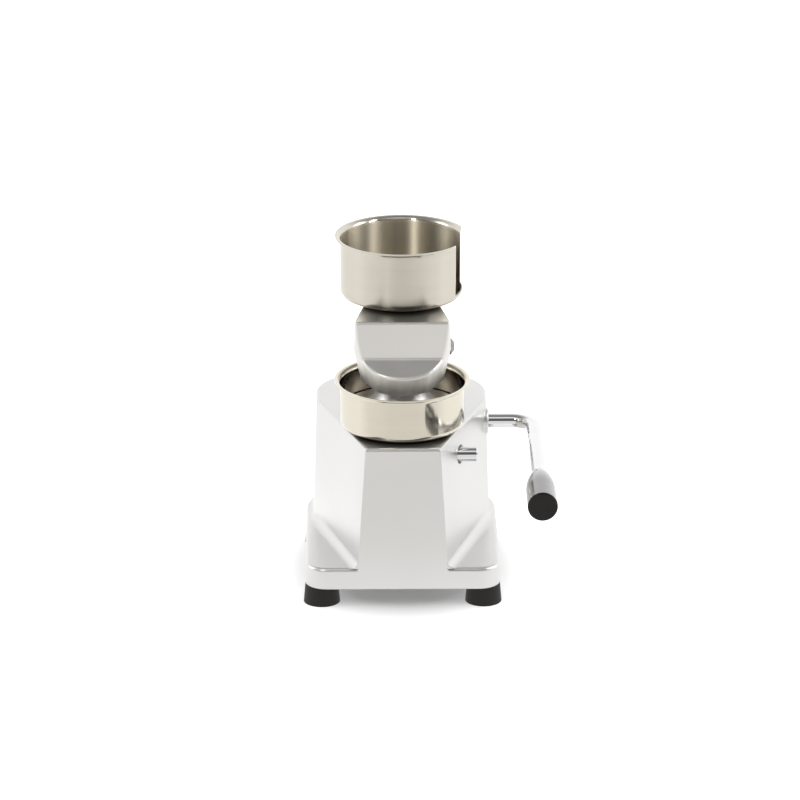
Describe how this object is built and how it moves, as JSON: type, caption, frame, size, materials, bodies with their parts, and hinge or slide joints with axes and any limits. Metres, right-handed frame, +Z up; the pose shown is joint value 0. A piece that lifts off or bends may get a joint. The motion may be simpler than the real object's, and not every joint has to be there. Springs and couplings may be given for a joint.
{
  "type": "manual burger press",
  "caption": "Tabletop burger press: a hollow cast tower on rubber feet with a forming bowl, a hinged press arm that carries a paper holder, and a side lever that also lifts the ejector.",
  "frame": {"origin": "on the table at the middle of the footprint of the whole press, lever included", "axes": "+X to the lever's side, -Y to the front where the user stands, +Z up"},
  "size_m": [0.2036, 0.2676, 0.2848],
  "materials": {
    "cast_body": "satin, bead-blasted",
    "cast_arm": "satin, bead-blasted",
    "stainless": "polished",
    "polished_plate": "polished",
    "chrome": "polished",
    "grip": "gloss",
    "rubber": "matt",
    "bronze": "turned",
    "steel": "ground"
  },
  "bodies": {
    "base": {"body_casting": "cast_body", "forming_bowl": "stainless", "bowl_screws": "steel", "guide_bush": "bronze", "right_shaft_bush": "bronze", "left_shaft_bush": "bronze", "ejector_right_bush": "bronze", "ejector_left_bush": "bronze", "arm_pivot_pin": "steel", "foot_front_left": "rubber", "foot_front_right": "rubber", "foot_rear_left": "rubber", "foot_rear_right": "rubber", "foot_screws": "steel"},
    "press_arm": {"press_arm": "cast_arm", "press_plate": "polished_plate", "cross_bolt": "chrome", "paper_holder": "stainless", "holder_screws": "steel", "arm_link_pin": "steel"},
    "lever": {"lever_bar": "chrome", "lever_grip": "grip", "shaft_collar": "steel", "drive_crank": "steel", "ejector_drive_crank": "steel", "drive_crank_pin": "steel", "ejector_crank_pin": "steel"},
    "drive_link": {"drive_link": "steel"},
    "ejector_shaft": {"ejector_shaft": "chrome", "ejector_rocker": "steel", "rocker_pin": "steel", "lifting_pin": "steel"},
    "ejector_link": {"ejector_link": "steel"},
    "ejector": {"ejector_plate": "polished_plate", "ejector_rod": "steel", "lift_yoke": "steel"}
  },
  "joints": [
    {"name": "arm_hinge", "type": "hinge", "parent": "base", "child": "press_arm", "pos_m": [-0.0203, 0.10175, 0.163], "axis": [-1, 0, 0], "range_deg": [0, 75]},
    {"name": "lever_hinge", "type": "hinge", "parent": "base", "child": "lever", "pos_m": [-0.0203, 0.06475, 0.1195], "axis": [-1, 0, 0], "range_deg": [0, 75]},
    {"name": "drive_link_hinge", "type": "hinge", "parent": "lever", "child": "drive_link", "pos_m": [-0.0203, 0.08866, 0.11741], "axis": [-1, 0, 0], "range_deg": [-75, 0]},
    {"name": "ejector_shaft_hinge", "type": "hinge", "parent": "base", "child": "ejector_shaft", "pos_m": [-0.0203, -0.00725, 0.1168], "axis": [-1, 0, 0], "range_deg": [0, 75]},
    {"name": "ejector_link_hinge", "type": "hinge", "parent": "ejector_shaft", "child": "ejector_link", "pos_m": [-0.0203, 0.00346, 0.10491], "axis": [-1, 0, 0], "range_deg": [-75, 0]},
    {"name": "ejector_slide", "type": "slide", "parent": "base", "child": "ejector", "axis": [0, 0, 1], "range_m": [0, 0.0221]}
  ],
  "couplings": [
    {"joint": "lever_hinge", "follows": "arm_hinge", "ratio": 1},
    {"joint": "drive_link_hinge", "follows": "arm_hinge", "ratio": -1},
    {"joint": "ejector_shaft_hinge", "follows": "arm_hinge", "ratio": 1},
    {"joint": "ejector_link_hinge", "follows": "arm_hinge", "ratio": -1},
    {"joint": "ejector_slide", "follows": "arm_hinge", "m_per_rad": 0.016742}
  ]
}
